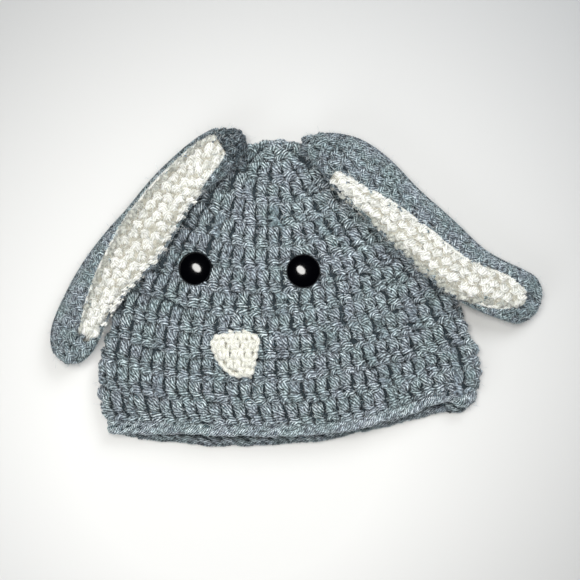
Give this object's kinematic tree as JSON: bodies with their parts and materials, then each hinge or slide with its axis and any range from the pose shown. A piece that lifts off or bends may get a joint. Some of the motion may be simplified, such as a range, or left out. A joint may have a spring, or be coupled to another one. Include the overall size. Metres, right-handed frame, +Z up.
{
  "type": "baby hat with ears",
  "caption": "Soft crocheted baby hat lying flat, open at the rim, with floppy two-tone ears, black dome buttons for eyes and a pale nose patch.",
  "frame": {"origin": "on the table plane under the middle of the hat, on the flat back that it lies on", "axes": "+X across the hat to the viewer's right, +Y from the rim to the crown, +Z up from the table through the face"},
  "size_m": [0.2348, 0.1542, 0.0281],
  "materials": {
    "grey_yarn": "soft plied worsted yarn, matte",
    "white_yarn": "soft plied worsted yarn, matte",
    "black_button": "polished"
  },
  "bodies": {
    "root": {"hat_body": "grey_yarn", "ear_left_back": "grey_yarn", "ear_left_inner": "white_yarn", "ear_right_back": "grey_yarn", "ear_right_inner": "white_yarn", "nose_patch": "white_yarn", "eye_button_left": "black_button", "eye_button_right": "black_button"}
  },
  "joints": []
}
